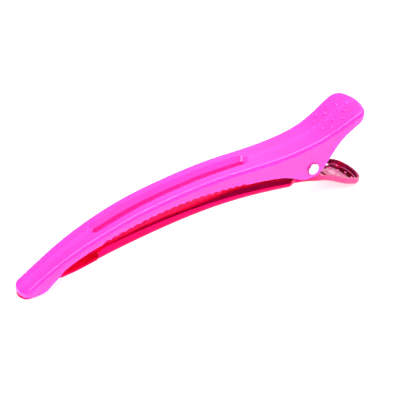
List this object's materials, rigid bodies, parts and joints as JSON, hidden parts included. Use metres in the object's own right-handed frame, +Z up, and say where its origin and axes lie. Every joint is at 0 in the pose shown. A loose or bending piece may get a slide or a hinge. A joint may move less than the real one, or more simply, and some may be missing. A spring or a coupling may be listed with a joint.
{
  "type": "duckbill hair clip",
  "caption": "Long arched plastic jaw with a slot and a dotted thumb grip, riveted over a lacquered sheet-metal jaw with a thumb lever, closed by a torsion spring.",
  "frame": {"origin": "on the table the clip lies on, under the middle of its bounding box", "axes": "+X from the nose towards the grip and the lever, +Y across the clip, +Z up from the table"},
  "size_m": [0.1142, 0.0142, 0.0268],
  "materials": {
    "pink_plastic": "smooth gloss, moulded through",
    "pink_lacquered_metal": "clear deep-pink lacquer over bright sheet metal",
    "bright_steel": "bright plated",
    "spring_steel": "drawn wire"
  },
  "bodies": {
    "metal_jaw": {"lower_jaw": "pink_lacquered_metal", "pivot_pin": "bright_steel", "spring": "spring_steel"},
    "plastic_jaw": {"upper_jaw": "pink_plastic"}
  },
  "joints": [
    {"name": "jaw_hinge", "type": "hinge", "parent": "metal_jaw", "child": "plastic_jaw", "pos_m": [0.037, 0, 0.0121], "axis": [0, 1, 0], "range_deg": [0, 38], "stiffness_Nm_per_rad": 0.05, "springref_deg": -57.3, "deforming": ["spring"]}
  ]
}
